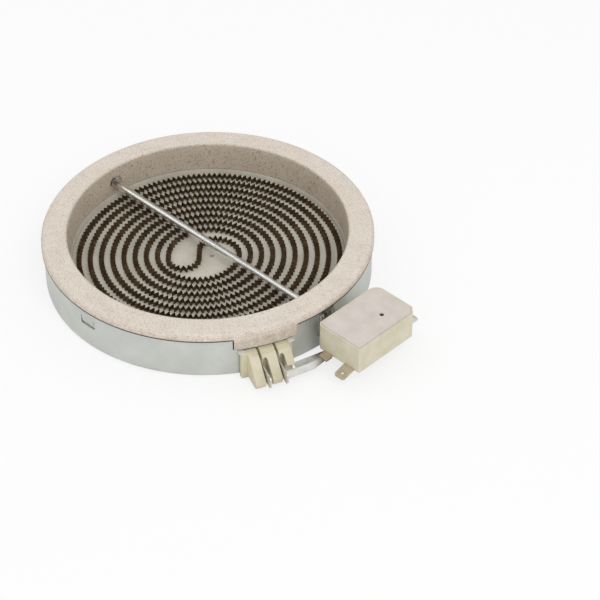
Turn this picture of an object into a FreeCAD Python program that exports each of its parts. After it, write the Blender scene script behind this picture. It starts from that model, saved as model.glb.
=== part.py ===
"""Radiant surface element for a glass ceramic hob, with its rod limiter.

Millimetres. Origin at the centre of the pan's underside, +Z up towards the glass, and +X along the
limiter's rod towards its switch box.
"""
import FreeCAD, Part
import math
import os

os.makedirs("parts", exist_ok=True)
Vector = FreeCAD.Vector

# Pan: a drawn sheet-steel dish
pan_radius = 82.5
pan_height = 22.0
pan_sheet = 0.5
pan_bend_inside = 1.5
pan_bend_steps = 3
bead_radius = 47.0
bead_width = 8.0
bead_height = 0.9
tab_turns = (-88.5, 91.5)
tab_width = 9.4
tab_height = 4.8
tab_below_rim = 9.0
tab_slit = 0.5
tab_push = 9.0
tab_room = 0.5

# Insulation: a pressed bed and a ring that stands on its edge, both inside the pan
wall_gap = 0.2
floor_height = 8.1
seat_rise = 3.0
slope_run = 0.6
ring_wall = 12.3
ring_draft = 0.9
ring_proud = 4.4
ring_lip = 0.9
ring_lip_gap = 0.35
ring_round = 2.6
ring_round_steps = 5
ring_inner_round = 0.8
ring_joint = 0.5
dimple_radius = 1.15
dimple_depth = 1.2
dimple_place = (3.8, 0.6)

# Heating ribbon: corrugated strip on edge, laid as two arms of semicircles about two centres
coil_turn = 44.4
coil_centre = (-2.4, -1.0)
turn_spacing = 5.64
first_radius = 20.7
coil_margin = 3.2
arm_end_gap = 0.4
short_arm_turn = 5.9
ribbon_height = 2.8
ribbon_thickness = 0.3
ribbon_swing = 1.3
tooth_pitch = 4.2
centre_hook_radius = 7.75
centre_hook_drop = 4.0
centre_crest_radius = 12.5

# Terminal block: ceramic, set in a cut-out of the pan's wall
block_turn = -23.5
block_gap = 0.05
flange_left = 14.6
flange_right = 11.6
flange_depth = 2.5
flange_low = 0.6
flange_round = 0.8
nose_left = 11.7
nose_right = 9.5
nose_reach = 14.7
nose_top_reach = 4.8
nose_top_drop = 1.0
nose_bottom = 1.8
nose_front_height = 5.2
nose_chin_rise = 0.7
nose_chin_back = 2.4
blade_places = (-5.8, 2.7)
slot_width = 1.3
pocket_width = 2.4
pocket_height = 13.4
pocket_sink = 0.9
apron_depth = 5.9
apron_left_side = 2.7
apron_right_side = 3.6
apron_gap = 0.35
apron_lift = 0.5
lug_width = 3.0
lug_length = 2.4
lug_inset = 0.6
tenon_side = 2.6
tenon_depth = 2.6
tenon_below = 1.0
tenon_above = 1.6
tenon_gap = 0.2
relief_reach = 7.5
relief_gap = 0.3

# Blades and strips
blade_width = 6.3
blade_thickness = 0.8
blade_corner = 1.0
blade_proud = 3.8
blade_low = 4.0
blade_step_gap = 0.5
blade_step_run = 2.6
blade_heel = 1.2
tongue_inside = 3.5
tongue_width = 3.2
tongue_rise = 0.5
lead_thickness = 0.4
lead_bend = 2.6
lead_overlap = 5.0
lead_gap = 0.05
channel_width = 2.6
channel_above = 0.6
channel_lead_in = 2.9

# Limiter: tube, rod and switch box
rod_rise = 8.5
tube_radius = 2.05
tube_wall = 0.6
rod_radius = 1.15
tube_hold = 6.5
cap_length = 3.0
cap_big_share = 0.97
cap_small_share = 0.78
ring_hole_radius = 4.2
ring_hole_rise = 0.4
mouth_depth = 3.0
blind_hole_gap = 0.3
blind_hole_wall = 1.4
notch_side = 2.95
notch_below = 1.15
box_stand_off = 5.5
box_depth = 27.4
box_left = 12.0
box_right = 29.0
box_drop = 8.0
box_height = 14.5
box_wall = 2.2
box_entry_wall = 3.0
box_chamfer = 3.6
box_corner_round = 2.6
box_back_round = 5.0
box_edge_break = 0.5
box_low_chamfer = 1.8
chamber_corner = 0.6
cover_thickness = 1.6
cover_rim = 0.9
cover_proud = 0.2
cover_gap = 0.12
tube_fit = 0.1
rod_fit = 0.3
tube_seat = 1.6
screw_hole_x = 17.3
screw_hole_y = 14.3
screw_radius = 1.2
screw_sink = 0.7
screw_slot = 0.4

# Limiter contacts and terminals, each placed from the box's near and side walls
shelf_rise = 4.4
shelf_length = 6.4
blade_slope = 2.0
near_blade_from = 18.2
near_blade_reach = 7.8
near_riser_in = 4.2
far_blade_from = 15.4
far_blade_reach = 7.8
blade_tip_cut = 0.9
far_riser_in = 4.4
blade_hole_radius = 0.8
blade_hole_share = 0.62
link_tab_from = 5.4
link_tab_width = 5.0
link_tab_reach = 4.5
link_riser_in = 3.6
contact_radius = 1.2
contact_height = 1.0
spring_sheet = 0.3
spring_width = 3.0
spring_slot = 1.2
spring_end_gap = 0.8
spring_arm = 3.4
spring_root = 7.6
spring_gap = 0.4
terminal_gap = 0.1
collar_radius = 2.6
collar_length = 1.6
collar_from = 7.6
coil_wire = 0.6
coil_turns = 3
coil_steps = 10
boss_radius = 3.2
fixing_x = 13.2
fixing_y = 1.0
fixing_radius = 1.5
fixing_head_radius = 2.8
fixing_head_height = 1.8
fixing_head_edge = 0.6
fixing_recess = 0.9
fixing_cross_reach = 1.6
fixing_cross_half = 0.35
fixing_fit = 0.2
fixing_end_gap = 0.4
boss_cap = 1.2
rocker_half_height = 1.4
rocker_reach = 4.2
rocker_side = 1.2
rocker_toe = 2.0
rocker_foot_rise = 0.4

# Bracket and link strip
bracket_sheet = 0.8
bracket_left = 6.2
bracket_right = 8.0
bracket_reach = 16.0
horn_below_rim = 1.6
horn_gap = 0.55
bracket_leg_gap = 0.2
link_sheet = 0.7
link_leg = 5.0
link_top_leg = 4.2
link_inset = 2.9
link_weld_from = 9.8
link_weld_to = 4.4
link_bend = 1.0
link_top_from = 6.0
link_taper_run = 8.0
link_end_gap = 0.6

# Worked out from the above
past = 1.0
pan_inner_radius = pan_radius - pan_sheet
fill_radius = pan_inner_radius - wall_gap
ring_inner_radius = fill_radius - ring_wall
floor_edge_radius = ring_inner_radius - slope_run
ring_seat_height = floor_height + seat_rise
ring_height = pan_height + ring_proud
lip_radius = pan_radius + ring_lip
lip_low = pan_height + ring_lip_gap
cut_from = ring_inner_radius - 5
cut_to = pan_radius + 5
arm_turns = int((ring_inner_radius - coil_margin - first_radius) / (2 * turn_spacing))
tab_low = pan_height - tab_below_rim
tab_top = tab_low + tab_height
apron_low = pan_height - apron_depth
apron_left = flange_left + apron_left_side
apron_right = flange_right + apron_right_side
flange_top = apron_low - pan_sheet
block_back = pan_radius + block_gap
block_front = block_back + flange_depth
nose_tip = pan_radius + nose_reach
blade_tip = nose_tip + blade_proud
tongue_inner = ring_inner_radius + tongue_inside
tongue_low = floor_height + tongue_rise
tongue_top = tongue_low + tongue_width
tenon_low = tongue_low - tenon_below
tenon_high = tongue_top + tenon_above
tenon_back = pan_inner_radius - tenon_depth
rod_height = floor_height + rod_rise
tube_far_end = ring_inner_radius + tube_hold
box_near = pan_radius + box_stand_off
box_far = box_near + box_depth
box_low = rod_height - box_drop
box_top = box_low + box_height
rim_top = box_top - cover_proud
cover_low = box_top - cover_thickness
chamber_low = box_low + box_wall
chamber_near = box_near + box_entry_wall
chamber_far = box_far - box_wall
terminal_middle = box_low + blade_thickness / 2
shelf_middle = box_low + shelf_rise
spring_level = shelf_middle + blade_thickness / 2
spring_top = spring_level + spring_sheet
near_blade_start = box_near + near_blade_from
far_blade_start = box_near + far_blade_from
link_tab_start = box_near + link_tab_from
collar_face = chamber_near + collar_from
screw_place = (box_near + screw_hole_x, screw_hole_y)
fixing_place = (box_near + fixing_x, fixing_y)
near_riser = near_riser_in - box_left
far_riser = box_right - far_riser_in
link_riser = link_riser_in - box_left
bracket_low = box_low - bracket_sheet
link_end_x = link_tab_start + link_inset


def span_box(x0, x1, y0, y1, z0, z1):
    """A box between two corners."""
    return Part.makeBox(x1 - x0, y1 - y0, z1 - z0, Vector(x0, y0, z0))


def upright(radius, x, y, z0, z1):
    """A vertical cylinder."""
    return Part.makeCylinder(radius, z1 - z0, Vector(x, y, z0))


def along_x(radius, x0, x1, y, z):
    """A cylinder lying along X."""
    return Part.makeCylinder(radius, x1 - x0, Vector(x0, y, z), Vector(1, 0, 0))


def turned(profile):
    """A profile of (radius, height) points turned about the Z axis."""
    face = Part.Face(Part.makePolygon([Vector(r, 0, z) for r, z in profile + profile[:1]]))
    return face.revolve(Vector(0, 0, 0), Vector(0, 0, 1), 360)


def plate(outline, z0, height):
    """A flat outline in plan, raised to a height."""
    face = Part.Face(Part.makePolygon([Vector(x, y, z0) for x, y in outline + outline[:1]]))
    return face.extrude(Vector(0, 0, height))


def side_plate_x(outline, x0, width):
    """An outline in (y, z), carried along X."""
    face = Part.Face(Part.makePolygon([Vector(x0, y, z) for y, z in outline + outline[:1]]))
    return face.extrude(Vector(width, 0, 0))


def side_plate_y(outline, y0, width):
    """An outline in (x, z), carried along Y."""
    face = Part.Face(Part.makePolygon([Vector(x, y0, z) for x, z in outline + outline[:1]]))
    return face.extrude(Vector(0, width, 0))


def strip_outline(points, half):
    """The outline of a strip of even thickness about a bent line, mitred at each bend."""
    directions = []
    for (x0, y0), (x1, y1) in zip(points, points[1:]):
        run = math.hypot(x1 - x0, y1 - y0)
        directions.append(((x1 - x0) / run, (y1 - y0) / run))
    left = []
    right = []
    for index, (x, y) in enumerate(points):
        before = directions[max(index - 1, 0)]
        after = directions[min(index, len(directions) - 1)]
        nx = -(before[1] + after[1])
        ny = before[0] + after[0]
        length = math.hypot(nx, ny)
        nx = nx / length
        ny = ny / length
        reach = half / (nx * -after[1] + ny * after[0])
        left.append((x + nx * reach, y + ny * reach))
        right.append((x - nx * reach, y - ny * reach))
    return left + right[::-1]


def bent_line(corner_points, radius, steps):
    """A line of straights with its corners rounded by short chords."""
    line = [corner_points[0]]
    for before, corner, after in zip(corner_points, corner_points[1:], corner_points[2:]):
        ax, ay = before[0] - corner[0], before[1] - corner[1]
        bx, by = after[0] - corner[0], after[1] - corner[1]
        la, lb = math.hypot(ax, ay), math.hypot(bx, by)
        ax, ay, bx, by = ax / la, ay / la, bx / lb, by / lb
        half_angle = math.acos(max(-1.0, min(1.0, ax * bx + ay * by))) / 2
        back = min(radius / math.tan(half_angle), la * 0.45, lb * 0.45)
        for step in range(steps + 1):
            t = step / steps
            line.append((corner[0] + ax * back * (1 - t) ** 2 + bx * back * t ** 2,
                         corner[1] + ay * back * (1 - t) ** 2 + by * back * t ** 2))
    line.append(corner_points[-1])
    return line


def rolled(shape, degrees):
    """A copy turned about the Z axis."""
    copy = shape.copy()
    copy.rotate(Vector(0, 0, 0), Vector(0, 0, 1), degrees)
    return copy


def turned_point(x, y, degrees):
    """A point of the plan turned about the origin."""
    angle = math.radians(degrees)
    return x * math.cos(angle) - y * math.sin(angle), x * math.sin(angle) + y * math.cos(angle)


def arc_points(x, z, radius, start, end, steps):
    """Points along an arc of a profile, both ends included."""
    angles = [math.radians(start + (end - start) * step / steps) for step in range(steps + 1)]
    return [(x + radius * math.cos(angle), z + radius * math.sin(angle)) for angle in angles]


def circle_edges(shape, radius, height):
    """The round edges of a turned piece at one radius and height."""
    found = []
    for edge in shape.Edges:
        if isinstance(edge.Curve, Part.Circle):
            if abs(edge.Curve.Radius - radius) < 0.01 and abs(edge.Curve.Center.z - height) < 0.01:
                found.append(edge)
    return found


def upright_edges(shape, x, y):
    """The vertical edges that stand at one place in plan."""
    found = []
    for edge in shape.Edges:
        first, last = edge.Vertexes[0].Point, edge.Vertexes[-1].Point
        near = all(abs(p.x - x) < 0.01 and abs(p.y - y) < 0.01 for p in (first, last))
        if near and abs(first.z - last.z) > 0.5:
            found.append(edge)
    return found


def save(name, shape):
    """Write one piece and print its measures."""
    solids = len(shape.Solids)
    print(name, "solids", solids, "valid", shape.isValid(), "volume", round(shape.Volume, 2))
    shape.exportStep("parts/" + name + ".step")


# Plan of the coil

def long_arm_end():
    """Angle at which the outer arm's last arc comes as near to the ring as its teeth allow.

    Both centres lie beside the pan's axis, so the arc runs outwards as it turns towards the side
    that its centre is shifted to, and a triangle of the two radii and the shift gives the angle.
    """
    shift_x = coil_centre[0] - turn_spacing / 2
    shift_y = coil_centre[1]
    shift = math.hypot(shift_x, shift_y)
    radius = first_radius + turn_spacing * (2 * arm_turns + 1)
    limit = floor_edge_radius - ribbon_swing - ribbon_thickness / 2 - arm_end_gap
    share = (limit ** 2 - radius ** 2 - shift ** 2) / (2 * radius * shift)
    turn = math.acos(max(-1.0, min(1.0, share)))
    return math.degrees(math.atan2(shift_y, shift_x) + turn)


def coil_path():
    """Arcs and straights of the whole ribbon: one arm's end, the S at the centre, the other's end.

    The far semicircles turn about one centre and the near ones about a second, one turn spacing
    to its left, so each arm steps out by two spacings a turn and the arms lie side by side.
    """
    far_x = turn_spacing / 2
    near_x = -turn_spacing / 2
    last = 2 * arm_turns
    pieces = []
    outer = first_radius + turn_spacing * (last + 1)
    pieces.append(("arc", near_x, 0.0, outer, long_arm_end(), 0.0))
    for step in range(last, -1, -2):
        pieces.append(("arc", far_x, 0.0, first_radius + turn_spacing * step, 0.0, 180.0))
        if step > 0:
            inner = first_radius + turn_spacing * (step - 1)
            pieces.append(("arc", near_x, 0.0, inner, 180.0, 360.0))
    left_x = far_x - first_radius
    right_x = near_x + first_radius
    middle_x = left_x + 2 * centre_hook_radius
    hook_x = left_x + centre_hook_radius
    crest_x = right_x - centre_crest_radius
    small = crest_x - middle_x
    small_y = centre_crest_radius - small
    pieces.append(("line", left_x, 0.0, left_x, -centre_hook_drop))
    pieces.append(("arc", hook_x, -centre_hook_drop, centre_hook_radius, 180.0, 360.0))
    pieces.append(("line", middle_x, -centre_hook_drop, middle_x, small_y))
    pieces.append(("arc", crest_x, small_y, small, 180.0, 90.0))
    pieces.append(("arc", crest_x, 0.0, centre_crest_radius, 90.0, 0.0))
    for step in range(0, last, 2):
        radius = first_radius + turn_spacing * step
        pieces.append(("arc", near_x, 0.0, radius, 0.0, -180.0))
        pieces.append(("arc", far_x, 0.0, radius + turn_spacing, 180.0, 0.0))
    short_end = block_turn - coil_turn + short_arm_turn
    pieces.append(("arc", near_x, 0.0, first_radius + turn_spacing * last, 0.0, short_end))
    return pieces


def piece_length(piece):
    """Length of one arc or straight."""
    if piece[0] == "line":
        return math.hypot(piece[3] - piece[1], piece[4] - piece[2])
    return piece[3] * math.radians(abs(piece[5] - piece[4]))


def point_on(piece, share):
    """The point and left-hand normal at a share of one arc or straight."""
    if piece[0] == "line":
        x0, y0, x1, y1 = piece[1:]
        run = piece_length(piece)
        x = x0 + (x1 - x0) * share
        y = y0 + (y1 - y0) * share
        return x, y, -(y1 - y0) / run, (x1 - x0) / run
    cx, cy, radius, start, end = piece[1:]
    angle = math.radians(start + (end - start) * share)
    hand = -1.0 if end > start else 1.0
    c, s = math.cos(angle), math.sin(angle)
    return cx + radius * c, cy + radius * s, hand * c, hand * s


def walk(pieces, count):
    """Evenly spaced points and normals along the whole path."""
    lengths = [piece_length(piece) for piece in pieces]
    total = sum(lengths)
    places = []
    index = 0
    passed = 0.0
    for number in range(count + 1):
        want = total * number / count
        while index < len(pieces) - 1 and want > passed + lengths[index]:
            passed += lengths[index]
            index += 1
        share = min((want - passed) / lengths[index], 1.0)
        places.append(point_on(pieces[index], share))
    return places


def coil_to_plan(x, y):
    """Coil coordinates to the model's plan."""
    return turned_point(x + coil_centre[0], y + coil_centre[1], coil_turn)


def make_ribbon():
    """The corrugated strip: a zigzag across the path, as thick as the strip on every slope."""
    pieces = coil_path()
    total = sum(piece_length(piece) for piece in pieces)
    count = 2 * round(total / tooth_pitch)
    print("ribbon path", round(total, 1), "mm,", count // 2, "teeth")
    slope = math.atan2(2 * ribbon_swing, total / count)
    reach = ribbon_thickness / 2 / math.cos(slope)
    left = []
    right = []
    for number, (x, y, nx, ny) in enumerate(walk(pieces, count)):
        side = 0.0 if number in (0, count) else ribbon_swing * (1 if number % 2 else -1)
        thick = ribbon_thickness if number in (0, count) else reach
        left.append(coil_to_plan(x + nx * (side + thick), y + ny * (side + thick)))
        right.append(coil_to_plan(x + nx * (side - thick), y + ny * (side - thick)))
    return plate(left + right[::-1], floor_height, ribbon_height)


# Frame of the terminal block: x outwards from the pan's axis, y along the wall

def at_block(shape):
    """From the block's own frame to the model's."""
    return rolled(shape, block_turn)


def tenon_sides(grow):
    """The tenon's two sides, grown by a clearance."""
    return blade_places[0] - tenon_side - grow, blade_places[1] + tenon_side + grow


def terminal_pocket():
    """Room in the insulation for the tenon, the tongues and the leads."""
    low, high = tenon_sides(tenon_gap)
    back = tenon_back - tenon_gap
    room = span_box(back, pan_radius + past, low, high, tenon_low - tenon_gap, tenon_high + tenon_gap)
    inner = floor_edge_radius - channel_lead_in
    for place in blade_places:
        side = place + blade_thickness / 2 + lead_thickness / 2
        half = channel_width / 2
        channel = span_box(inner, back + past, side - half, side + half,
                           floor_height, tongue_top + channel_above)
        room = room.fuse(channel)
    return at_block(room)


def make_pan():
    """A turned dish with a stiffening bead, cut for the limiter and the block."""
    bead_outer = bead_radius + bead_width / 2
    bead_inner = bead_radius - bead_width / 2
    profile = [(0, 0), (bead_inner, 0), (bead_inner + bead_height, bead_height)]
    profile += [(bead_outer - bead_height, bead_height), (bead_outer, 0)]
    # the drawn corner at the wall's foot: one centre for its outer and inner faces
    bend_outside = pan_bend_inside + pan_sheet
    bend_x = pan_radius - bend_outside
    profile += arc_points(bend_x, bend_outside, bend_outside, -90, 0, pan_bend_steps)
    profile += [(pan_radius, pan_height), (pan_inner_radius, pan_height)]
    profile += arc_points(bend_x, bend_outside, pan_bend_inside, 0, -90, pan_bend_steps)
    profile += [(bead_outer, pan_sheet), (bead_outer - bead_height, bead_height + pan_sheet)]
    profile += [(bead_inner + bead_height, bead_height + pan_sheet), (bead_inner, pan_sheet), (0, pan_sheet)]
    pan = turned(profile)
    # notch for the limiter's tube
    half = tube_radius + notch_side
    notch_low = rod_height - tube_radius - notch_below
    pan = pan.cut(span_box(cut_from, cut_to, -half, half, notch_low, pan_height + past))
    # cut-out for the ring's apron, and the window for the block's tenon below it
    opening = span_box(cut_from, cut_to, -apron_left, apron_right, apron_low, pan_height + past)
    low, high = tenon_sides(tenon_gap)
    opening = opening.fuse(span_box(cut_from, cut_to, low, high, tenon_low - tenon_gap, apron_low + past))
    pan = pan.cut(at_block(opening))
    # lugs bent out over the block's shoulders
    for middle in (lug_inset - flange_left, flange_right - lug_inset):
        inner = math.sqrt(pan_inner_radius ** 2 - (abs(middle) + lug_width / 2) ** 2)
        lug = span_box(inner, pan_radius + lug_length, middle - lug_width / 2, middle + lug_width / 2,
                       flange_top, apron_low)
        inside = Part.makeCylinder(pan_inner_radius, pan_height)
        pan = pan.fuse(at_block(lug).cut(inside))
    # lanced tabs, hinged at the top and pressed in against the ring
    half = tab_width / 2
    tab = span_box(pan_inner_radius, pan_radius, tab_slit - half, half - tab_slit, tab_low + tab_slit, tab_top)
    tab.rotate(Vector(pan_radius, 0, tab_top), Vector(0, 1, 0), tab_push)
    window = span_box(cut_from, cut_to, -half, half, tab_low, tab_top)
    for turn in tab_turns:
        pan = pan.cut(rolled(window, turn)).fuse(rolled(tab, turn))
    return pan.removeSplitter()


def make_base():
    """The pressed bed: fills the pan's bottom and rises to a seat under the ring."""
    bead_outer = bead_radius + bead_width / 2
    bead_inner = bead_radius - bead_width / 2
    bend = pan_bend_inside + wall_gap / 2
    rise = bead_height + pan_sheet
    profile = [(0, pan_sheet), (bead_inner, pan_sheet), (bead_inner + bead_height, rise)]
    profile += [(bead_outer - bead_height, rise), (bead_outer, pan_sheet), (fill_radius - bend, pan_sheet)]
    profile += [(fill_radius, pan_sheet + bend), (fill_radius, ring_seat_height)]
    profile += [(ring_inner_radius, ring_seat_height), (floor_edge_radius, floor_height), (0, floor_height)]
    base = turned(profile)
    x, y = coil_to_plan(*dimple_place)
    base = base.cut(upright(dimple_radius, x, y, floor_height - dimple_depth, floor_height + past))
    return base.cut(terminal_pocket())


def make_ring():
    """The pressed ring: a lip over the pan's rim, an apron over the block, holes for the tube."""
    top_inner = ring_inner_radius + ring_draft
    profile = [(ring_inner_radius + ring_joint, ring_seat_height), (fill_radius, ring_seat_height)]
    profile += [(fill_radius, lip_low), (lip_radius, lip_low)]
    profile += arc_points(lip_radius - ring_round, ring_height - ring_round, ring_round, 0, 90, ring_round_steps)
    profile += arc_points(top_inner + ring_inner_round, ring_height - ring_inner_round, ring_inner_round, 90, 180, 2)
    profile.append((ring_inner_radius, ring_seat_height + ring_joint))
    ring = turned(profile)
    # apron: over the terminal block the ring fills the pan's cut-out, flush with the lip
    low = apron_low + apron_lift
    inner = pan_inner_radius - past
    band = turned([(inner, low), (lip_radius, low), (lip_radius, lip_low), (inner, lip_low)])
    sector = span_box(cut_from, cut_to, apron_gap - apron_left, apron_right - apron_gap, low, lip_low)
    ring = ring.fuse(band.common(at_block(sector)))
    # a wide hole towards the box, and opposite a wide mouth before the snug end of the tube
    hole_height = rod_height + ring_hole_rise
    ring = ring.cut(along_x(ring_hole_radius, -ring_inner_radius - mouth_depth, cut_to, 0, hole_height))
    ring = ring.cut(along_x(tube_radius + blind_hole_gap, blind_hole_wall - fill_radius, 0, 0, rod_height))
    # room for the pan's tabs
    half = tab_width / 2
    depth = tab_height * math.sin(math.radians(tab_push)) + tab_room
    room = span_box(pan_inner_radius - depth, cut_to, -half, half, tab_low, tab_top)
    for turn in tab_turns:
        ring = ring.cut(rolled(room, turn))
    return ring.cut(terminal_pocket()).removeSplitter()


def make_block():
    """Ceramic block: a flange against the wall, a sloped nose in three ribs, and a tenon inside."""
    flange = span_box(block_back, block_front, -flange_left, flange_right, flange_low, flange_top)
    corners = upright_edges(flange, block_front, -flange_left)
    corners += upright_edges(flange, block_front, flange_right)
    flange = flange.makeFillet(flange_round, corners)
    nose = [(block_back, flange_top), (pan_radius + nose_top_reach, flange_top - nose_top_drop)]
    nose += [(nose_tip, nose_front_height), (nose_tip - nose_chin_rise, nose_bottom + nose_chin_rise)]
    nose += [(nose_tip - nose_chin_back, nose_bottom), (block_back, nose_bottom)]
    block = side_plate_y(nose, -nose_left, nose_left + nose_right).fuse(flange)
    low, high = tenon_sides(0)
    block = block.fuse(span_box(tenon_back, block_back, low, high, tenon_low, tenon_high))
    # the right rib is cut back where the link strip passes
    relief = span_box(pan_radius + relief_reach, nose_tip + past, blade_places[1] + blade_thickness / 2,
                      nose_right + past, 0, box_low + relief_gap)
    block = block.cut(relief)
    for place in blade_places:
        right = place + blade_thickness / 2
        # slot for the blade, through the flange and open to the front, the top and the underside
        slot = span_box(block_back, nose_tip + past, right - slot_width, right, 0, flange_top + past)
        # the blade's tongue passes through the tenon
        way = span_box(tenon_back - past, block_front, place - blade_thickness / 2, right,
                       tongue_low, tongue_top)
        # pocket for the receptacle, round at the top
        inner = pan_radius + nose_top_reach - pocket_sink
        radius = pocket_width / 2
        pocket = span_box(inner, nose_tip + past, right, right + pocket_width, 0, pocket_height - radius)
        crown = along_x(radius, inner, nose_tip + past, right + radius, pocket_height - radius)
        block = block.cut(slot).cut(way).cut(pocket.fuse(crown))
    return at_block(block.removeSplitter())


def make_terminal_blade(place):
    """A stamped blade: a narrow tongue inside the pan, stepping down to a 6.3 mm tab outside."""
    step = block_front + blade_step_gap
    tab_top = blade_low + blade_width
    near_tip = blade_tip - blade_corner
    heel = step - blade_heel
    outline = [(tongue_inner, tongue_low), (tongue_inner, tongue_top), (step, tongue_top)]
    outline += [(step + blade_step_run, tab_top), (near_tip, tab_top), (blade_tip, tab_top - blade_corner)]
    outline += [(blade_tip, blade_low + blade_corner), (near_tip, blade_low), (heel, blade_low)]
    outline += [(heel, tongue_low)]
    return at_block(side_plate_y(outline, place - blade_thickness / 2, blade_thickness))


def make_lead(path_end, place):
    """A plain strip from the end of the ribbon, along the wall and out beside the blade's tongue."""
    x, y, nx, ny = path_end
    start = turned_point(*coil_to_plan(x, y), -block_turn)
    radius = math.hypot(*start)
    line_y = place + blade_thickness / 2 + lead_thickness / 2
    toward = math.copysign(1.0, line_y - start[1])
    first = math.atan2(start[1], start[0]) + toward * lead_gap / radius
    last = math.asin((line_y - toward * lead_bend) / radius)
    points = [(radius * math.cos(first), radius * math.sin(first))]
    steps = max(1, round(math.degrees(abs(first - last)) / 4))
    for step in range(1, steps + 1):
        angle = first + (last - first) * step / steps
        points.append((radius * math.cos(angle), radius * math.sin(angle)))
    corner_x = math.sqrt(radius ** 2 - line_y ** 2)
    turn = bent_line([points[-1], (corner_x, line_y), (tongue_inner + lead_overlap, line_y)], lead_bend, 5)
    outline = strip_outline(points[:-1] + turn, lead_thickness / 2)
    return at_block(plate(outline, floor_height, ribbon_height))


def make_tube():
    """The clear tube, from the box's wall across the recess into the ring's far side."""
    near = box_near + tube_seat
    tube = along_x(tube_radius, -tube_far_end, near, 0, rod_height)
    return tube.cut(along_x(tube_radius - tube_wall, -tube_far_end - past, near + past, 0, rod_height))


def make_rod():
    """The rod that grows with heat, from its end cap to the rocker in the box."""
    return along_x(rod_radius, -tube_far_end - cap_length, collar_face, 0, rod_height)


def make_end_cap():
    """A tapered nut on the rod's far end, against the end of the tube."""
    far = -tube_far_end - cap_length
    body = Part.makeCone(tube_radius * cap_small_share, tube_radius * cap_big_share, cap_length,
                         Vector(far, 0, rod_height), Vector(1, 0, 0))
    return body.cut(along_x(rod_radius, far - past, -tube_far_end + past, 0, rod_height))


def make_collar():
    """The collar that the return spring pushes, fixed on the rod's end."""
    back = collar_face - collar_length
    collar = along_x(collar_radius, back, collar_face, 0, rod_height)
    return collar.cut(along_x(rod_radius, back - past, collar_face + past, 0, rod_height))


def make_return_spring():
    """A compression spring between the box's wall and the collar: six-sided sections on a helix."""
    wire = coil_wire / 2
    start = chamber_near + wire
    end = collar_face - collar_length - wire
    mean = collar_radius - wire
    count = coil_turns * coil_steps
    sections = []
    for step in range(count + 1):
        turn = 2 * math.pi * step / coil_steps
        x = start + (end - start) * step / count
        corners = []
        for across, along in arc_points(mean, 0, wire, 0, 360, 6):
            corners.append(Vector(x + along, across * math.cos(turn), rod_height + across * math.sin(turn)))
        sections.append(Part.makePolygon(corners))
    return Part.makeLoft(sections, True, True)


# Switch box

def box_outline(grow):
    """The switch box in plan, grown or shrunk on every side, with its far corner cut off."""
    x0 = box_near - grow
    x1 = box_far + grow
    y0 = -box_left - grow
    y1 = box_right + grow
    cut = box_chamfer + grow * (2 - math.sqrt(2))
    return [(x0, y0), (x1, y0), (x1, y1 - cut), (x1 - cut, y1), (x0, y1)]


def box_plate(grow, low, height):
    """The switch box's outline raised to a height, with the corners towards the pan rounded."""
    block = plate(box_outline(grow), low, height)
    block = block.makeFillet(box_corner_round + grow, upright_edges(block, box_near - grow, -box_left - grow))
    return block.makeFillet(box_back_round + grow, upright_edges(block, box_near - grow, box_right + grow))


def near_line():
    """Side view of the near blade: a sloped tip, a run under the floor, a riser and a shelf."""
    line = [(-box_left - near_blade_reach, terminal_middle - blade_slope)]
    line += [(-box_left - link_end_gap, terminal_middle), (near_riser, terminal_middle)]
    return line + [(near_riser, shelf_middle), (near_riser + shelf_length, shelf_middle)]


def far_line():
    """Side view of the far blade: its shelf lies one contact's height lower."""
    shelf = spring_level - contact_height - blade_thickness / 2
    line = [(box_right + far_blade_reach, terminal_middle), (far_riser, terminal_middle)]
    return line + [(far_riser, shelf), (far_riser - shelf_length, shelf)]


def link_line():
    """Side view of the link terminal: like the far blade's, from the other side."""
    shelf = spring_level - contact_height - blade_thickness / 2
    line = [(-box_left - link_tab_reach, terminal_middle), (link_riser, terminal_middle)]
    return line + [(link_riser, shelf), (link_riser + shelf_length, shelf)]


def make_terminal(line, start, width):
    """A bent flat terminal from its side view."""
    return side_plate_x(strip_outline(line, blade_thickness / 2), start, width)


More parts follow.
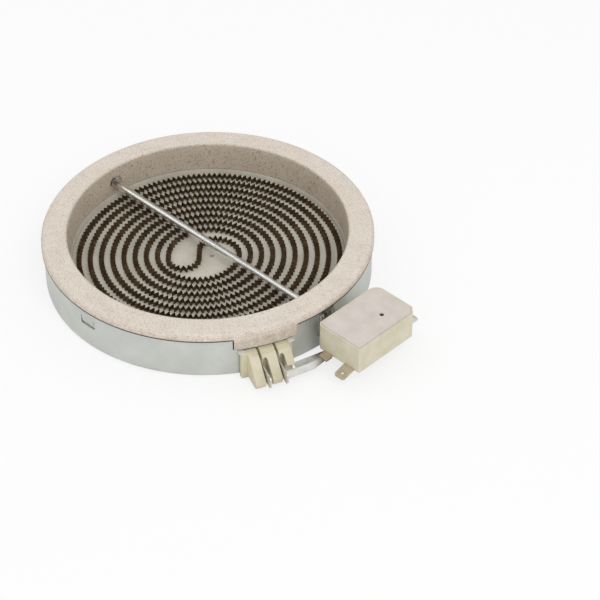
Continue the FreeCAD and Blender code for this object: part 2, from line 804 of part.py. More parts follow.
def make_box():
    """The ceramic box: a chamber under the cover's seat, a boss, and ways in for the terminals."""
    box = box_plate(0, box_low, rim_top - box_low)
    box = box.makeFillet(box_edge_break, upright_edges(box, box_far, -box_left))
    # chamber, with a full wall behind the cut-off corner
    far_y = box_right - box_wall
    chamber = span_box(chamber_near, chamber_far, box_wall - box_left, far_y, chamber_low, rim_top + past)
    corner = box_chamfer + chamber_corner
    outline = [(chamber_far - corner, far_y), (chamber_far, far_y - corner)]
    outline += [(chamber_far + past, far_y - corner), (chamber_far + past, far_y + past)]
    outline += [(chamber_far - corner, far_y + past)]
    box = box.cut(chamber.cut(plate(outline, chamber_low - past, box_height)))
    # seat for the cover, inside a thin rim
    box = box.cut(box_plate(-cover_rim, cover_low, box_height))
    # hollow boss for the fixing screw, on which the rocker also rests
    x, y = fixing_place
    box = box.fuse(upright(boss_radius, x, y, chamber_low - past, shelf_middle))
    box = box.cut(upright(fixing_radius, x, y, box_low - past, shelf_middle - boss_cap))
    # entry of the tube and the rod
    box = box.cut(along_x(tube_radius + tube_fit, box_near - past, box_near + tube_seat, 0, rod_height))
    box = box.cut(along_x(rod_radius + rod_fit, box_near, chamber_near + past, 0, rod_height))
    # grooves under the floor and slots through it for the three terminals
    gap = terminal_gap
    half = blade_thickness / 2 + gap
    terminals = [(near_line(), near_blade_start, blade_width), (far_line(), far_blade_start, blade_width)]
    terminals.append((link_line(), link_tab_start, link_tab_width))
    for line, start, width in terminals:
        x0 = start - gap
        x1 = start + width + gap
        riser = line[-2][0]
        outside = math.copysign(box_left + box_right, riser)
        y0, y1 = sorted((outside, riser - math.copysign(half, riser)))
        box = box.cut(span_box(x0, x1, y0, y1, box_low - past, box_low + blade_thickness))
        box = box.cut(span_box(x0, x1, riser - half, riser + half, box_low, chamber_low + past))
    # the lower edge beside the pan is chamfered
    edge = box_low_chamfer
    wedge = [(box_near - past, box_low - past), (box_near + edge, box_low - past), (box_near + edge, box_low)]
    wedge += [(box_near, box_low + edge), (box_near - past, box_low + edge)]
    return box.cut(side_plate_y(wedge, -box_left - past, box_left + box_right + 2 * past)).removeSplitter()


def make_cover():
    """A flat lid that drops into the box's rim, with a hole over the adjusting screw."""
    lid = box_plate(-cover_rim - cover_gap, cover_low, cover_thickness)
    x, y = screw_place
    return lid.cut(upright(screw_radius, x, y, cover_low - past, box_top + past))


def cut_tip(blade, start, tip_y, inwards):
    """The blade with both corners of its tip cut off; inwards is the way back to the box."""
    for x, way in ((start, 1), (start + blade_width, -1)):
        out_x = x - way * past
        out_y = tip_y - inwards * past
        reach = blade_tip_cut + 2 * past
        corner = [(out_x, out_y), (out_x + way * reach, out_y), (out_x, out_y + inwards * reach)]
        blade = blade.cut(plate(corner, 0, box_top))
    return blade


def make_near_blade():
    """The supply blade at the box's near end, with a small catch hole."""
    blade = make_terminal(near_line(), near_blade_start, blade_width)
    blade = cut_tip(blade, near_blade_start, -box_left - near_blade_reach, 1)
    y = -box_left - near_blade_reach * blade_hole_share
    return blade.cut(upright(blade_hole_radius, near_blade_start + blade_width / 2, y, 0, spring_level))


def make_far_blade():
    """The signal blade at the box's far end, with a small catch hole."""
    blade = make_terminal(far_line(), far_blade_start, blade_width)
    blade = cut_tip(blade, far_blade_start, box_right + far_blade_reach, -1)
    y = box_right + far_blade_reach * blade_hole_share
    return blade.cut(upright(blade_hole_radius, far_blade_start + blade_width / 2, y, 0, spring_level))


def power_spring_middle():
    """Where the power spring runs: along X over the link terminal's shelf and the near blade's."""
    return near_riser + blade_thickness / 2 + contact_radius + spring_end_gap


def signal_contact_y():
    """Where the signal contact stands: in the middle of the far blade's shelf."""
    return far_riser - shelf_length / 2


def make_power_spring():
    """A thin slotted spring from the near blade's shelf to the contact on the link terminal."""
    x0 = link_tab_start + spring_end_gap
    x1 = near_blade_start + blade_width - spring_end_gap
    y = power_spring_middle()
    half = spring_width / 2
    slot = spring_slot / 2
    strip = span_box(x0, x1, y - half, y + half, spring_level, spring_top)
    return strip.cut(span_box(x0 + spring_arm, x1 - spring_root, y - slot, y + slot,
                              spring_level - past, spring_top + past))


def make_signal_spring():
    """A thin spring from the near blade's shelf, under the adjusting screw, to the far contact."""
    x, y = screw_place
    half = spring_width / 2
    begin = power_spring_middle() + half + spring_gap
    root = near_riser + shelf_length
    wide = x + half + spring_width
    end = signal_contact_y() + contact_radius + spring_gap
    outline = [(x - half, begin), (wide, begin), (wide, root), (x + half, root + half)]
    outline += [(x + half, end), (x - half, end)]
    return plate(outline, spring_level, spring_sheet)


def make_contacts():
    """Two contact rivets: one on the link terminal's shelf, one on the far blade's shelf."""
    low = spring_level - contact_height
    places = [(link_tab_start + link_tab_width / 2, power_spring_middle())]
    places.append((screw_place[0], signal_contact_y()))
    return Part.makeCompound([upright(contact_radius, x, y, low, spring_level) for x, y in places])


def make_rocker():
    """A bell-crank: the rod's end pushes its top, it rocks on the boss, and its toe presses the
    power spring."""
    x, y = fixing_place
    low = rod_height - rocker_half_height
    high = rod_height + rocker_half_height
    foot = spring_top + rocker_foot_rise
    back = y - rocker_side
    toe_end = x + rocker_reach
    y0 = power_spring_middle() - spring_slot / 2
    outline = [(collar_face, low), (collar_face, high), (collar_face + rocker_half_height, high)]
    outline += [(toe_end, foot + past), (toe_end, foot), (x - rocker_half_height, foot)]
    body = side_plate_y(outline, y0, y + rocker_side - y0)
    toe = span_box(toe_end - rocker_toe, toe_end, y0, y0 + rocker_side, spring_top, foot)
    pivot = span_box(x - rocker_half_height, x, back, y + rocker_side, shelf_middle, foot)
    return body.fuse(toe).fuse(pivot).removeSplitter()


def make_adjusting_screw():
    """The slotted grub screw under its hole in the cover, standing on the signal spring."""
    x, y = screw_place
    top = box_top - screw_sink
    screw = upright(screw_radius, x, y, spring_top, top)
    half = screw_slot / 2
    reach = screw_radius + past
    return screw.cut(span_box(x - reach, x + reach, y - half, y + half, top - screw_radius / 2, top + past))


def make_bracket():
    """A folded plate: a leg against the pan's wall with two horns beside the tube, and a foot
    under the switch box."""
    front = pan_radius + bracket_sheet
    half = tube_radius + notch_side - bracket_leg_gap
    horn_top = pan_height - horn_below_rim
    leg = span_box(pan_radius, front, -half, half, bracket_low, horn_top)
    slot_half = tube_radius + horn_gap
    slot = span_box(pan_radius - past, front + past, -slot_half, slot_half, rod_height, horn_top + past)
    slot = slot.fuse(along_x(slot_half, pan_radius - past, front + past, 0, rod_height))
    foot = span_box(pan_radius, box_near + bracket_reach, -bracket_left, bracket_right, bracket_low, box_low)
    x, y = fixing_place
    hole = upright(fixing_radius + fixing_fit, x, y, bracket_low - past, box_low + past)
    return leg.cut(slot).fuse(foot).cut(hole).removeSplitter()


def make_fixing_screw():
    """Pan-head screw up through the bracket's foot into the box's boss."""
    x, y = fixing_place
    head_low = bracket_low - fixing_head_height
    head = upright(fixing_head_radius, x, y, head_low, bracket_low)
    head = head.makeChamfer(fixing_head_edge, circle_edges(head, fixing_head_radius, head_low))
    screw = head.fuse(upright(fixing_radius, x, y, head_low + past, shelf_middle - boss_cap - fixing_end_gap))
    reach = fixing_cross_reach
    half = fixing_cross_half
    top = bracket_low - fixing_recess
    cross = span_box(x - reach, x + reach, y - half, y + half, head_low - past, top)
    cross = cross.fuse(span_box(x - half, x + half, y - reach, y + reach, head_low - past, top))
    return screw.cut(cross).removeSplitter()


def make_link():
    """Folded strip from the right blade to the limiter: a standing leg, tapered at its end, and a
    flat top leg that runs on as a pad under the link terminal."""
    half = link_sheet / 2
    low = box_low - link_leg
    flat_low = box_low - link_sheet
    side = blade_places[1] + blade_thickness / 2 + half
    start = turned_point(blade_tip - link_weld_from, side, block_turn)
    turn = turned_point(blade_tip - link_weld_to, side, block_turn)
    end = (link_end_x, -box_left - link_end_gap)
    leg = plate(strip_outline(bent_line([start, turn, end], link_bend, 3), half), low, link_leg)
    # frame of the long run: x along it from the bend, y towards the pan
    run = math.hypot(end[0] - turn[0], end[1] - turn[1])
    heading = math.degrees(math.atan2(end[1] - turn[1], end[0] - turn[0]))
    taper = [(run - link_taper_run, low), (run + past, flat_low), (run + past, low - past)]
    taper.append((run - link_taper_run, low - past))
    wedge = side_plate_y(taper, -link_leg, 2 * link_leg)
    top_leg = span_box(link_top_from, run, -half, link_top_leg - half, flat_low, box_low)
    for shape in (wedge, top_leg):
        shape.rotate(Vector(0, 0, 0), Vector(0, 0, 1), heading)
        shape.translate(Vector(turn[0], turn[1], 0))
    pad = span_box(link_tab_start, link_tab_start + link_tab_width, -box_left - link_tab_reach, end[1], flat_low, box_low)
    return leg.cut(wedge).fuse(top_leg).fuse(pad).removeSplitter()


save("pan", make_pan())
save("base_insulation", make_base())
save("insulation_ring", make_ring())
save("heating_ribbon", make_ribbon())
path_ends = walk(coil_path(), 1)
save("lead_left", make_lead(path_ends[1], blade_places[0]))
save("lead_right", make_lead(path_ends[0], blade_places[1]))
save("terminal_block", make_block())
save("terminal_blade_left", make_terminal_blade(blade_places[0]))
save("terminal_blade_right", make_terminal_blade(blade_places[1]))
save("link_strip", make_link())
save("limiter_tube", make_tube())
save("limiter_rod", make_rod())
save("rod_end_cap", make_end_cap())
save("rod_collar", make_collar())
save("return_spring", make_return_spring())
save("limiter_body", make_box())
save("limiter_cover", make_cover())
save("adjusting_screw", make_adjusting_screw())
save("limiter_blade_near", make_near_blade())
save("limiter_blade_far", make_far_blade())
save("limiter_link_terminal", make_terminal(link_line(), link_tab_start, link_tab_width))
save("power_contact_spring", make_power_spring())
save("signal_contact_spring", make_signal_spring())
save("contact_rivets", make_contacts())
save("rocker", make_rocker())
save("limiter_bracket", make_bracket())
save("bracket_screw", make_fixing_screw())
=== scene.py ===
"""A radiant element for a glass ceramic hob: its finishes, and the parts too fine for its solids.

Metres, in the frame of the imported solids: +Z up towards the glass, +X along the limiter's rod.
"""
import math

import bpy
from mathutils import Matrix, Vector
import numpy as np


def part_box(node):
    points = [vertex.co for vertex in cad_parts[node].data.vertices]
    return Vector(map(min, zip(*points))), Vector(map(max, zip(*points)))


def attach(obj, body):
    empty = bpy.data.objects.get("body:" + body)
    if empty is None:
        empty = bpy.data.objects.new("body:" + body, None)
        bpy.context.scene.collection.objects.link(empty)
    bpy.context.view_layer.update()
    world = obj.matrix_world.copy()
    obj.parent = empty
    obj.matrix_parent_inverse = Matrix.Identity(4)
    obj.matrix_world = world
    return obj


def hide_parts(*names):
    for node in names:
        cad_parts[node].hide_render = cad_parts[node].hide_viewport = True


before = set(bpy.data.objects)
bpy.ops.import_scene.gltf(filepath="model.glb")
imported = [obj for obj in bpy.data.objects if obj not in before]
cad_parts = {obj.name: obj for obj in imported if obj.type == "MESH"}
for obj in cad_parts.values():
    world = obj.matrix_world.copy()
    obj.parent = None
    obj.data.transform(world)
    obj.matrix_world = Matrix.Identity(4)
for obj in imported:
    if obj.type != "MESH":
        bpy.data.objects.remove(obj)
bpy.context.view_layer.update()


# Pan
# A dish drawn from aluminised sheet steel, a dull neutral silver. Its sheared rim and its bent lugs
# are brighter, its wall has lanced tabs, and handling leaves pale smears on it.

def tone(red, green, blue):
    """A colour as the eye reads it, 0 to 255, in the linear values that a shader takes."""
    shares = np.array([red, green, blue]) / 255
    linear = np.where(shares <= 0.04045, shares / 12.92, ((shares + 0.055) / 1.055) ** 2.4)
    return (*linear.tolist(), 1.0)


def new_finish(name, roughness, metallic):
    """A material, its shader and the object coordinates that its patterns read."""
    material = bpy.data.materials.new(name)
    material.use_nodes = True
    shader = material.node_tree.nodes["Principled BSDF"]
    shader.inputs["Roughness"].default_value = roughness
    shader.inputs["Metallic"].default_value = metallic
    place = material.node_tree.nodes.new("ShaderNodeTexCoord").outputs["Object"]
    return material, shader, place


def knot(material, kind, feeds, **settings):
    """One shader node, each socket fed by a value or by another node's output."""
    made = material.node_tree.nodes.new(kind)
    for name, value in settings.items():
        setattr(made, name, value)
    for name, value in feeds.items():
        if isinstance(value, bpy.types.NodeSocket):
            material.node_tree.links.new(value, made.inputs[name])
        else:
            made.inputs[name].default_value = value
    return made


def noise(material, place, grain, detail=4.0, rough=0.55):
    """Cloudy noise whose patches are about one grain wide."""
    feeds = {"Vector": place, "Scale": 1 / grain, "Detail": detail, "Roughness": rough}
    return knot(material, "ShaderNodeTexNoise", feeds).outputs["Fac"]


def ramp(material, share, stops):
    """Colours laid between stops of a share from 0 to 1."""
    made = knot(material, "ShaderNodeValToRGB", {"Fac": share})
    band = made.color_ramp
    while len(band.elements) < len(stops):
        band.elements.new(1.0)
    for element, (position, colour) in zip(band.elements, stops):
        element.position = position
        element.color = colour
    return made.outputs["Color"]


def blend(material, share, first, second, how="MIX"):
    """Two colours mixed by a share."""
    feeds = {0: share, 6: first, 7: second}
    return knot(material, "ShaderNodeMix", feeds, data_type="RGBA", blend_type=how).outputs[2]


def stretch(material, value, low, high):
    """A value spread so that low becomes 0 and high becomes 1."""
    feeds = {"Value": value, "From Min": low, "From Max": high}
    return knot(material, "ShaderNodeMapRange", feeds).outputs["Result"]


def relief(material, shader, height, depth, strength):
    """Bump of one real depth."""
    feeds = {"Height": height, "Distance": depth, "Strength": strength}
    bump = knot(material, "ShaderNodeBump", feeds).outputs["Normal"]
    material.node_tree.links.new(bump, shader.inputs["Normal"])


def colour_with(material, shader, colour, roughness=None):
    """Feed the shader's colour and, where given, its roughness."""
    material.node_tree.links.new(colour, shader.inputs["Base Color"])
    if roughness is not None:
        material.node_tree.links.new(roughness, shader.inputs["Roughness"])


def from_axis(material, place):
    """How far a point lies from the pan's axis."""
    level = {0: place, 1: (1, 1, 0)}
    flat = knot(material, "ShaderNodeVectorMath", level, operation="MULTIPLY").outputs[0]
    return knot(material, "ShaderNodeVectorMath", {0: flat}, operation="LENGTH").outputs["Value"]


def dress(material, *nodes):
    """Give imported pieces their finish."""
    for node in nodes:
        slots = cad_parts[node].data.materials
        slots.clear()
        slots.append(material)


pan_steel, shader, place = new_finish("pan_steel", 0.45, 0.55)
clouds = noise(pan_steel, place, 0.016, 5.0)
fine = noise(pan_steel, place, 0.0006, 3.0)
silver = ramp(pan_steel, clouds, [(0.32, tone(196, 198, 193)), (0.62, tone(209, 211, 206))])
speckled = blend(pan_steel, stretch(pan_steel, fine, 0.62, 0.78), silver, tone(172, 172, 164))
height = knot(pan_steel, "ShaderNodeSeparateXYZ", {"Vector": place}).outputs["Z"]
rim_height, wall_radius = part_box("pan")[1].z, 0.0825
sheared = stretch(pan_steel, height, rim_height - 0.0009, rim_height - 0.0004)
speckled = blend(pan_steel, sheared, speckled, tone(222, 222, 217))
bent_out = stretch(pan_steel, from_axis(pan_steel, place), wall_radius + 0.0004, wall_radius + 0.0008)
speckled = blend(pan_steel, bent_out, speckled, tone(232, 231, 226))
colour_with(pan_steel, shader, speckled, stretch(pan_steel, clouds, -0.3, 1.6))
relief(pan_steel, shader, fine, 0.00004, 0.25)
dress(pan_steel, "pan")


# Bed
# A pressed cake of microporous powder, grey-beige and quite flat, on which the ribbon stands. The
# press leaves a fine grain, and heat leaves pale and brown clouds near the ribbon.

bed_powder, shader, place = new_finish("bed_powder", 0.95, 0.0)
clouds = noise(bed_powder, place, 0.012, 4.0)
fine = noise(bed_powder, place, 0.0005, 3.0)
cake = ramp(bed_powder, clouds, [(0.3, tone(194, 187, 172)), (0.7, tone(212, 207, 194))])
dusted = blend(bed_powder, stretch(bed_powder, fine, 0.55, 0.8), cake, tone(164, 155, 136))
colour_with(bed_powder, shader, dusted)
relief(bed_powder, shader, fine, 0.00008, 0.5)
dress(bed_powder, "base_insulation")


# Ring
# Pressed vermiculite: beige, with flakes of brown, grey and gold, coarser than the bed. Its inner
# wall is dotted, with painted shade darkening it; a dark line of painted shade runs under its lip,
# off the apron over the block, and a fainter painted shade darkens the apron's foot.

def times(material, first, second):
    """The product of two shares."""
    return knot(material, "ShaderNodeMath", {0: first, 1: second}, operation="MULTIPLY").outputs[0]


lip_radius, lip_height, recess_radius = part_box("insulation_ring")[1].y, 0.02235, 0.0695
apron_turn, apron_chord, edge = math.radians(-24.2), 0.0818, 0.0001
vermiculite, shader, place = new_finish("vermiculite", 0.92, 0.0)
clouds = noise(vermiculite, place, 0.009, 5.0)
patches = noise(vermiculite, place, 0.0028, 5.0, 0.65)
flakes = noise(vermiculite, place, 0.0013, 4.0, 0.7)
crumbs = noise(vermiculite, place, 0.0007, 3.0, 0.6)
body = ramp(vermiculite, clouds, [(0.3, tone(222, 211, 199)), (0.7, tone(231, 222, 211))])
body = blend(vermiculite, stretch(vermiculite, patches, 0.55, 0.80), body, tone(213, 198, 178))
body = blend(vermiculite, stretch(vermiculite, crumbs, 0.50, 0.72), body, tone(188, 174, 156))
body = blend(vermiculite, stretch(vermiculite, flakes, 0.66, 0.74), body, tone(138, 116, 94))

radius = from_axis(vermiculite, place)
# Painted shade: the inner wall is darkened towards the recess, and its dark dots are limited to the
# same band.
inner_wall_shade_and_dots = stretch(vermiculite, radius, recess_radius + 0.0022, recess_radius + 0.0006)
body = blend(vermiculite, inner_wall_shade_and_dots, body, tone(228, 222, 212), "MULTIPLY")
dots = times(vermiculite, inner_wall_shade_and_dots, stretch(vermiculite, flakes, 0.56, 0.68))
body = blend(vermiculite, dots, body, tone(122, 108, 90))
shoulder = stretch(vermiculite, radius, lip_radius - 0.0034, lip_radius)
stain = times(vermiculite, shoulder, patches)
body = blend(vermiculite, stretch(vermiculite, stain, 0.25, 1.6), body, tone(150, 118, 88))

height = knot(vermiculite, "ShaderNodeSeparateXYZ", {"Vector": place}).outputs["Z"]
# Painted shade: a dark line along the lip's foot, outside and off the apron, stands for the shade in
# the gap over the pan's rim.
lip_gap_shade = stretch(vermiculite, height, lip_height + 0.0009, lip_height + 0.0005)
facing = {0: place, 1: (math.cos(apron_turn), math.sin(apron_turn), 0.0)}
reach = knot(vermiculite, "ShaderNodeVectorMath", facing, operation="DOT_PRODUCT").outputs["Value"]
off_apron = stretch(vermiculite, reach, apron_chord + edge, apron_chord - edge)
outside = stretch(vermiculite, radius, lip_radius - 0.0019, lip_radius - 0.0014)
lip_gap_shade = times(vermiculite, times(vermiculite, lip_gap_shade, off_apron), outside)
body = blend(vermiculite, lip_gap_shade, body, tone(62, 58, 50))
# Painted shade: below the lip, the apron's face over the block is darkened a little.
below_lip = stretch(vermiculite, height, lip_height + 0.0006, lip_height - 0.0014)
on_apron = stretch(vermiculite, reach, apron_chord - edge, apron_chord + edge)
apron_foot_shade = times(vermiculite, below_lip, on_apron)
body = blend(vermiculite, apron_foot_shade, body, tone(240, 240, 235), "MULTIPLY")
colour_with(vermiculite, shader, body)
grain = knot(vermiculite, "ShaderNodeMath", {0: flakes, 1: crumbs}, operation="ADD").outputs[0]
relief(vermiculite, shader, grain, 0.0002, 0.6)
dress(vermiculite, "insulation_ring")


# Heating ribbon
# A thin strip of heat-resisting alloy, corrugated by toothed rollers and stood on edge. It is laid
# as two arms of semicircles with an S at the centre, and its skin is oxidised dark brown.

def coil_points(count):
    """Evenly spaced points and left-hand normals along the coil's middle line, and its length.

    Each arc or straight is sampled closely as arrays, the runs are joined, and the whole is then
    resampled at even lengths. The far semicircles have one centre and the near ones another, one
    turn spacing to the left, so each arm steps outwards as it turns.
    """
    spacing, first, arm = 0.00564, 0.0207, 8
    long_end, short_end, samples = -21.9, -62.0, 400
    far, near = spacing / 2, -spacing / 2
    runs = [("arc", near, 0.0, first + spacing * (arm + 1), long_end, 0.0)]
    for step in range(arm, -1, -2):
        runs.append(("arc", far, 0.0, first + spacing * step, 0.0, 180.0))
        if step:
            runs.append(("arc", near, 0.0, first + spacing * (step - 1), 180.0, 360.0))
    left, right = far - first, near + first
    hook, drop, crest = 0.00775, 0.0040, 0.0125
    middle, over = left + 2 * hook, right - crest
    small = over - middle
    runs.append(("line", left, 0.0, left, -drop))
    runs.append(("arc", left + hook, -drop, hook, 180.0, 360.0))
    runs.append(("line", middle, -drop, middle, crest - small))
    runs.append(("arc", over, crest - small, small, 180.0, 90.0))
    runs.append(("arc", over, 0.0, crest, 90.0, 0.0))
    for step in range(0, arm, 2):
        runs.append(("arc", near, 0.0, first + spacing * step, 0.0, -180.0))
        runs.append(("arc", far, 0.0, first + spacing * (step + 1), 180.0, 0.0))
    runs.append(("arc", near, 0.0, first + spacing * arm, 0.0, short_end))
    share = np.linspace(0, 1, samples)
    lines = []
    for kind, x, y, *sizes in runs:
        if kind == "line":
            lines.append(np.stack([x + (sizes[0] - x) * share, y + (sizes[1] - y) * share], 1)[1:])
        else:
            angle = np.radians(sizes[1] + (sizes[2] - sizes[1]) * share)
            arc = np.stack([x + sizes[0] * np.cos(angle), y + sizes[0] * np.sin(angle)], 1)
            lines.append(arc[1:])
    line = np.concatenate(lines)
    passed = np.concatenate([[0], np.cumsum(np.hypot(*np.diff(line, axis=0).T))])
    even = np.linspace(0, passed[-1], count)
    points = np.stack([np.interp(even, passed, line[:, axis]) for axis in (0, 1)], 1)
    ahead = np.gradient(points, axis=0)
    ahead /= np.linalg.norm(ahead, axis=1, keepdims=True)
    return points, np.stack([-ahead[:, 1], ahead[:, 0]], 1), passed[-1]


def grid_mesh(name, points, material):
    """A mesh from a grid of points, row by row, closed across each row and capped at both ends."""
    rows, across = points.shape[:2]
    index = np.arange(rows * across).reshape(rows, across)
    beside = np.roll(index, -1, 1)
    faces = np.stack([index[:-1], beside[:-1], beside[1:], index[1:]], -1).reshape(-1, 4).tolist()
    faces += [index[0][::-1].tolist(), index[-1].tolist()]
    mesh = bpy.data.meshes.new(name)
    mesh.from_pydata(points.reshape(-1, 3).tolist(), [], faces)
    mesh.materials.append(material)
    piece = bpy.data.objects.new(name, mesh)
    bpy.context.scene.collection.objects.link(piece)
    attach(piece, "root")
    return piece


def coil_to_plan(points):
    """Coil coordinates to the part's plan: shifted off the pan's axis and turned."""
    turn, across, back = math.radians(44.4), 0.0024, 0.0010
    x, y = points[..., 0] - across, points[..., 1] - back
    along_x = x * math.cos(turn) - y * math.sin(turn)
    along_y = x * math.sin(turn) + y * math.cos(turn)
    return np.stack([along_x, along_y], -1)


burnt_alloy, shader, place = new_finish("burnt_alloy", 0.45, 0.5)
clouds = noise(burnt_alloy, place, 0.004, 4.0)
fine = noise(burnt_alloy, place, 0.0004, 3.0)
browns = [(0.3, tone(64, 48, 30)), (0.55, tone(92, 73, 49)), (0.75, tone(124, 103, 74))]
oxide = ramp(burnt_alloy, clouds, browns)
colour_with(burnt_alloy, shader, oxide, stretch(burnt_alloy, fine, -0.6, 1.2))
relief(burnt_alloy, shader, fine, 0.00002, 0.3)

# The strip's middle line swings either side of the coil's by an almost straight-sided wave, the
# arc sine of a sine cut a little short of 1. Its section is a thin upright rectangle.
tooth_pitch, tooth_swing, half_strip = 0.00273, 0.00138, 0.00006
per_tooth, tip_sharpness, first_look = 10, 0.96, 50
bed_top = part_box("heating_ribbon")[0].z
ribbon_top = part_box("heating_ribbon")[1].z
teeth = round(coil_points(first_look)[2] / tooth_pitch)
line, normal = coil_points(teeth * per_tooth + 1)[:2]
wave = np.sin(np.linspace(0, 2 * np.pi * teeth, len(line)))
swing = (tooth_swing * np.arcsin(tip_sharpness * wave) / math.asin(tip_sharpness))[:, None]
bent = line + normal * swing
along = np.gradient(bent, axis=0)
along /= np.linalg.norm(along, axis=1, keepdims=True)
side = np.stack([-along[:, 1], along[:, 0]], 1) * half_strip
rows = []
for edge, height in ((side, bed_top), (side, ribbon_top), (-side, ribbon_top), (-side, bed_top)):
    plan = coil_to_plan(bent + edge)
    rows.append(np.concatenate([plan, np.full((len(plan), 1), height)], 1))
ribbon = grid_mesh("corrugated_ribbon", np.stack(rows, 1), burnt_alloy)
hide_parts("heating_ribbon")
dress(burnt_alloy, "heating_ribbon", "lead_left", "lead_right")


# Terminal block
# Unglazed steatite, cream with darker olive flecks, pressed in one piece: a flange, a
# sloped nose in ribs, and round-topped pockets for the push-on connectors.

def ceramic(name, dark, light, stain):
    """Unglazed ceramic: soft clouds between two tones, a fine grain and stained flecks."""
    material, shader, place = new_finish(name, 0.62, 0.0)
    clouds = noise(material, place, 0.007, 4.0)
    fine = noise(material, place, 0.0004, 3.0)
    body = ramp(material, clouds, [(0.3, tone(*dark)), (0.7, tone(*light))])
    body = blend(material, stretch(material, fine, 0.6, 0.85), body, tone(*stain))
    colour_with(material, shader, body)
    relief(material, shader, fine, 0.00005, 0.35)
    return material


steatite = ceramic("steatite", (203, 195, 165), (218, 211, 186), (176, 164, 128))
dress(steatite, "terminal_block", "rocker")


# Blades
# Stamped steel tabs with a thin plating, silver with a warm stain. The blade beside the link has
# the link strip welded to its side.

def sheet_metal(name, dark, light, rough, stain):
    """Plated sheet: two tones in soft clouds, fine scratches one way, and stains in patches."""
    material, shader, place = new_finish(name, rough, 0.6)
    clouds = noise(material, place, 0.005, 4.0)
    drawn = knot(material, "ShaderNodeMapping", {"Vector": place, "Scale": (1.0, 0.12, 1.0)}).outputs[0]
    lines = noise(material, drawn, 0.0003, 3.0)
    metal = ramp(material, clouds, [(0.3, tone(*dark)), (0.65, tone(*light))])
    spots = noise(material, place, 0.0022, 4.0)
    metal = blend(material, stretch(material, spots, 0.6, 0.8), metal, tone(*stain))
    colour_with(material, shader, metal, stretch(material, lines, 1 - 2.4 * rough, 2.6 - rough))
    relief(material, shader, lines, 0.00002, 0.3)
    return material


plated = sheet_metal("plated_blade", (192, 186, 179), (218, 213, 206), 0.36, (166, 155, 142))
dress(plated, "terminal_blade_left", "terminal_blade_right")
# The near blade's warm tarnish is its own; on the link terminal under the box these darker tones are
# painted shade.
tarnish_and_shade = sheet_metal("tarnish_and_shade_blade", (182, 168, 142), (206, 195, 171), 0.38, (150, 134, 104))
dress(tarnish_and_shade, "limiter_blade_near", "limiter_link_terminal")


# Link strip
# A bright strip folded to an angle between the right blade and the limiter. Heat from the weld
# has tinted its limiter end brown.

bright_strip = sheet_metal("bright_strip", (216, 217, 212), (234, 235, 231), 0.34, (200, 198, 192))
shader = bright_strip.node_tree.nodes["Principled BSDF"]
place = bright_strip.node_tree.nodes["Texture Coordinate"].outputs["Object"]
cross = knot(bright_strip, "ShaderNodeSeparateXYZ", {"Vector": place}).outputs["Y"]
weld_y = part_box("limiter_body")[0].y
heated = stretch(bright_strip, cross, weld_y - 0.0085, weld_y - 0.0025)
metal = shader.inputs["Base Color"].links[0].from_socket
metal = blend(bright_strip, heated, metal, tone(108, 76, 52))
colour_with(bright_strip, shader, metal)
dress(bright_strip, "link_strip")


# Limiter tube and rod
# A clear quartz tube round a bright rod that grows with heat. The tube is drawn, so it has faint
# lines along it, and the rod has a nut at its far end and a sprung collar in the box.

quartz, shader, place = new_finish("quartz", 0.0, 0.0)
drawn = knot(quartz, "ShaderNodeMapping", {"Vector": place, "Scale": (0.02, 1.0, 1.0)}).outputs[0]
lines = noise(quartz, drawn, 0.0006, 2.0)
clear = ramp(quartz, lines, [(0.35, tone(246, 245, 243)), (0.65, tone(254, 254, 253))])
colour_with(quartz, shader, clear)
shader.inputs["Transmission Weight"].default_value = 1.0
shader.inputs["IOR"].default_value = 1.46
dress(quartz, "limiter_tube")

rod_steel, shader, place = new_finish("rod_steel", 0.22, 0.9)
drawn = knot(rod_steel, "ShaderNodeMapping", {"Vector": place, "Scale": (0.01, 1.0, 1.0)}).outputs[0]
lines = noise(rod_steel, drawn, 0.0009, 2.0)
bright = ramp(rod_steel, lines, [(0.36, tone(202, 202, 198)), (0.46, tone(248, 248, 245))])
colour_with(rod_steel, shader, bright)
dress(rod_steel, "limiter_rod", "rod_end_cap", "rod_collar", "return_spring")


# Switch box and cover
# A ceramic box, creamier than its flat pinkish-grey cover, which drops into a thin rim. The cover is
# bare and faintly clouded by handling, and resin seals the adjusting screw in its hole.

box_ceramic = ceramic("box_ceramic", (204, 197, 172), (219, 213, 192), (184, 175, 145))
dress(box_ceramic, "limiter_body")
cover_ceramic = ceramic("cover_ceramic", (206, 196, 188), (219, 210, 202), (184, 172, 162))
dress(cover_ceramic, "limiter_cover")
sealing = ceramic("sealing_resin", (70, 38, 20), (96, 58, 34), (40, 22, 12))
dress(sealing, "adjusting_screw")


# Inner contacts and springs
# Thin springs of yellow bronze between the terminals' shelves, and silver-faced contact rivets.

bronze = sheet_metal("spring_bronze", (186, 150, 92), (214, 178, 118), 0.35, (150, 112, 62))
dress(bronze, "power_contact_spring", "signal_contact_spring")
silver_face = sheet_metal("silver_face", (206, 206, 204), (232, 232, 230), 0.3, (180, 178, 172))
dress(silver_face, "contact_rivets", "limiter_blade_far")


# Bracket
# Bright plated sheet, folded under the box and up against the pan's wall, where two horns stand
# either side of the tube. A cross-head screw holds the box to its foot.

bracket_steel = sheet_metal("bracket_steel", (176, 178, 178), (222, 223, 223), 0.28, (140, 138, 132))
dress(bracket_steel, "limiter_bracket", "bracket_screw")


# Studio
# A pale floor under a white sky, one broad lamp above and to the right, a narrow one behind that
# draws a line along the tube, and the camera at the photograph's angle.

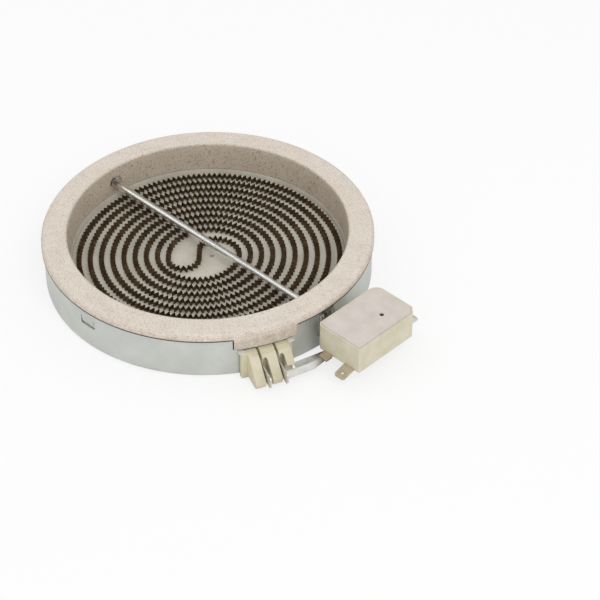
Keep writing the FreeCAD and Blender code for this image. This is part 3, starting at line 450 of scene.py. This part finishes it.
floor_mesh = bpy.data.meshes.new("floor")
span, whiteness = 4.0, 0.72
corners = [(-span, -span, 0), (span, -span, 0), (span, span, 0), (-span, span, 0)]
floor_mesh.from_pydata(corners, [], [(0, 1, 2, 3)])
floor = bpy.data.objects.new("floor", floor_mesh)
bpy.context.scene.collection.objects.link(floor)
floor_paper, shader, place = new_finish("floor_paper", 0.9, 0.0)
shader.inputs["Base Color"].default_value = (0.96, 0.96, 0.96, 1)
shader.inputs["Specular IOR Level"].default_value = 0.1
seen = knot(floor_paper, "ShaderNodeLightPath", {}).outputs["Is Camera Ray"]
share = times(floor_paper, seen, whiteness)
white = knot(floor_paper, "ShaderNodeEmission", {"Color": (1, 1, 1, 1), "Strength": 1.0}).outputs[0]
both = knot(floor_paper, "ShaderNodeMixShader", {0: share, 1: shader.outputs[0], 2: white}).outputs[0]
sheet_end = floor_paper.node_tree.nodes["Material Output"].inputs["Surface"]
floor_paper.node_tree.links.new(both, sheet_end)
floor_mesh.materials.append(floor_paper)

world = bpy.data.worlds.new("white_sky")
world.use_nodes = True
sky = world.node_tree.nodes["Background"]
sky.inputs["Color"].default_value = (1, 1, 1, 1)
sky.inputs["Strength"].default_value = 0.73
bpy.context.scene.world = world


def hang_lamp(name, place, wide, deep, power):
    """A rectangular lamp that faces the pan's middle."""
    light = bpy.data.lights.new(name, "AREA")
    light.shape = "RECTANGLE"
    light.size, light.size_y = wide, deep
    light.energy = power
    lamp = bpy.data.objects.new(name, light)
    lamp.location = place
    lamp.rotation_euler = Vector(place).to_track_quat("Z", "Y").to_euler()
    bpy.context.scene.collection.objects.link(lamp)


hang_lamp("broad_lamp", (1.0, -0.5, 1.2), 0.9, 0.9, 7.5)
hang_lamp("rear_lamp", (-0.85, -0.25, 1.1), 0.3, 1.0, 1.2)

lens_data = bpy.data.cameras.new("camera")
lens_data.sensor_width = 36.0
lens_data.lens = 124.32
lens_data.clip_start = 0.05
camera = bpy.data.objects.new("camera", lens_data)
camera.location = (0.60465, -0.55073, 0.66692)
camera.rotation_euler = (math.radians(49.87), 0, math.radians(44.44))
bpy.context.scene.collection.objects.link(camera)
bpy.context.scene.camera = camera
bpy.context.scene.view_settings.view_transform = "Standard"
